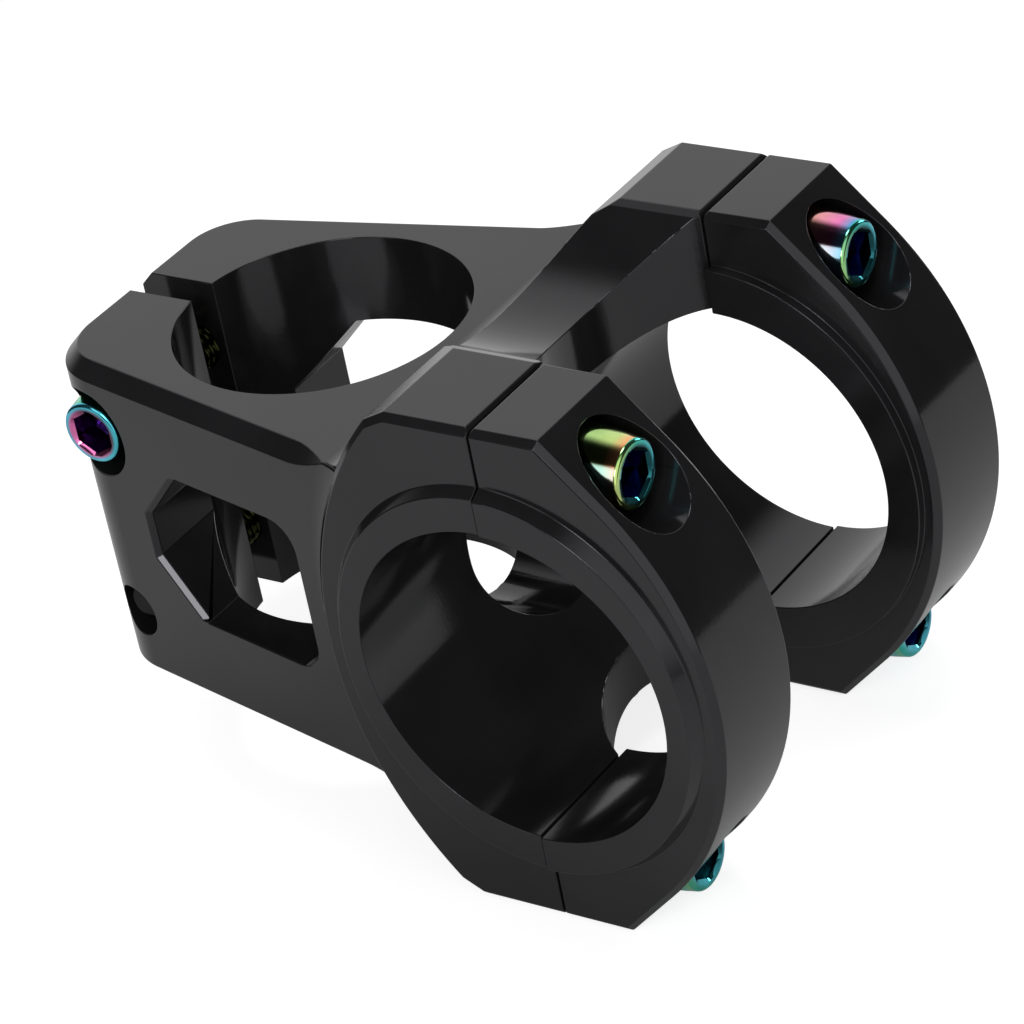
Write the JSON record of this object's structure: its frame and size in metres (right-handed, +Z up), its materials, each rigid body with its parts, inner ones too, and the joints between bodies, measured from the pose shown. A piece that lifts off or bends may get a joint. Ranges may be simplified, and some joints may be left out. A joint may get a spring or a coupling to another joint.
{
  "type": "handlebar stem",
  "caption": "Short zero-rise bicycle stem: a slotted steerer clamp with side windows and pinch bolts, joined to a split bar clamp whose separate face caps are held by socket screws.",
  "frame": {"origin": "on the steerer axis at mid height of the steerer clamp", "axes": "+X forward from the steerer to the bar, +Y to the rider's left, +Z up along the steerer"},
  "size_m": [0.0787, 0.0534, 0.0514],
  "materials": {
    "anodised": "satin black anodised",
    "coated_bolt": "polished, with a rainbow heat-colour coating",
    "washer": "blackened"
  },
  "bodies": {
    "stem": {"stem_body": "anodised"},
    "right_cap": {"face_cap_right": "anodised"},
    "left_cap": {"face_cap_left": "anodised"},
    "right_upper_cap_washer": {"right_upper_cap_washer": "washer"},
    "right_upper_cap_bolt": {"right_upper_cap_bolt": "coated_bolt"},
    "right_lower_cap_washer": {"right_lower_cap_washer": "washer"},
    "right_lower_cap_bolt": {"right_lower_cap_bolt": "coated_bolt"},
    "left_upper_cap_washer": {"left_upper_cap_washer": "washer"},
    "left_upper_cap_bolt": {"left_upper_cap_bolt": "coated_bolt"},
    "left_lower_cap_washer": {"left_lower_cap_washer": "washer"},
    "left_lower_cap_bolt": {"left_lower_cap_bolt": "coated_bolt"},
    "upper_pinch_washer": {"upper_pinch_washer": "washer"},
    "upper_pinch_bolt": {"upper_pinch_bolt": "coated_bolt"},
    "lower_pinch_washer": {"lower_pinch_washer": "washer"},
    "lower_pinch_bolt": {"lower_pinch_bolt": "coated_bolt"}
  },
  "joints": [
    {"name": "right_cap_removal", "type": "slide", "parent": "stem", "child": "right_cap", "axis": [1, 0, 0], "range_m": [0, 0.008]},
    {"name": "left_cap_removal", "type": "slide", "parent": "stem", "child": "left_cap", "axis": [1, 0, 0], "range_m": [0, 0.008]},
    {"name": "right_upper_cap_travel", "type": "slide", "parent": "right_cap", "child": "right_upper_cap_washer", "axis": [1, 0, 0], "range_m": [0, 0.008]},
    {"name": "right_upper_cap_turn", "type": "hinge", "parent": "right_upper_cap_washer", "child": "right_upper_cap_bolt", "pos_m": [0.0402, -0.01928, 0.0201], "axis": [1, 0, 0], "range_deg": [0, 3605]},
    {"name": "right_lower_cap_travel", "type": "slide", "parent": "right_cap", "child": "right_lower_cap_washer", "axis": [1, 0, 0], "range_m": [0, 0.008]},
    {"name": "right_lower_cap_turn", "type": "hinge", "parent": "right_lower_cap_washer", "child": "right_lower_cap_bolt", "pos_m": [0.0402, -0.01928, -0.0201], "axis": [1, 0, 0], "range_deg": [0, 3605]},
    {"name": "left_upper_cap_travel", "type": "slide", "parent": "left_cap", "child": "left_upper_cap_washer", "axis": [1, 0, 0], "range_m": [0, 0.008]},
    {"name": "left_upper_cap_turn", "type": "hinge", "parent": "left_upper_cap_washer", "child": "left_upper_cap_bolt", "pos_m": [0.0402, 0.01928, 0.0201], "axis": [1, 0, 0], "range_deg": [0, 3605]},
    {"name": "left_lower_cap_travel", "type": "slide", "parent": "left_cap", "child": "left_lower_cap_washer", "axis": [1, 0, 0], "range_m": [0, 0.008]},
    {"name": "left_lower_cap_turn", "type": "hinge", "parent": "left_lower_cap_washer", "child": "left_lower_cap_bolt", "pos_m": [0.0402, 0.01928, -0.0201], "axis": [1, 0, 0], "range_deg": [0, 3605]},
    {"name": "upper_pinch_travel", "type": "slide", "parent": "stem", "child": "upper_pinch_washer", "axis": [0, -1, 0], "range_m": [0, 0.008]},
    {"name": "upper_pinch_turn", "type": "hinge", "parent": "upper_pinch_washer", "child": "upper_pinch_bolt", "pos_m": [-0.018, -0.0081, 0.00965], "axis": [0, -1, 0], "range_deg": [0, 3605]},
    {"name": "lower_pinch_travel", "type": "slide", "parent": "stem", "child": "lower_pinch_washer", "axis": [0, 1, 0], "range_m": [0, 0.008]},
    {"name": "lower_pinch_turn", "type": "hinge", "parent": "lower_pinch_washer", "child": "lower_pinch_bolt", "pos_m": [-0.018, 0.0081, -0.01045], "axis": [0, 1, 0], "range_deg": [0, 3605]}
  ],
  "couplings": [
    {"joint": "right_upper_cap_turn", "follows": "right_upper_cap_travel", "rad_per_m": 7854},
    {"joint": "right_lower_cap_turn", "follows": "right_lower_cap_travel", "rad_per_m": 7854},
    {"joint": "left_upper_cap_turn", "follows": "left_upper_cap_travel", "rad_per_m": 7854},
    {"joint": "left_lower_cap_turn", "follows": "left_lower_cap_travel", "rad_per_m": 7854},
    {"joint": "upper_pinch_turn", "follows": "upper_pinch_travel", "rad_per_m": 7854},
    {"joint": "lower_pinch_turn", "follows": "lower_pinch_travel", "rad_per_m": 7854}
  ]
}
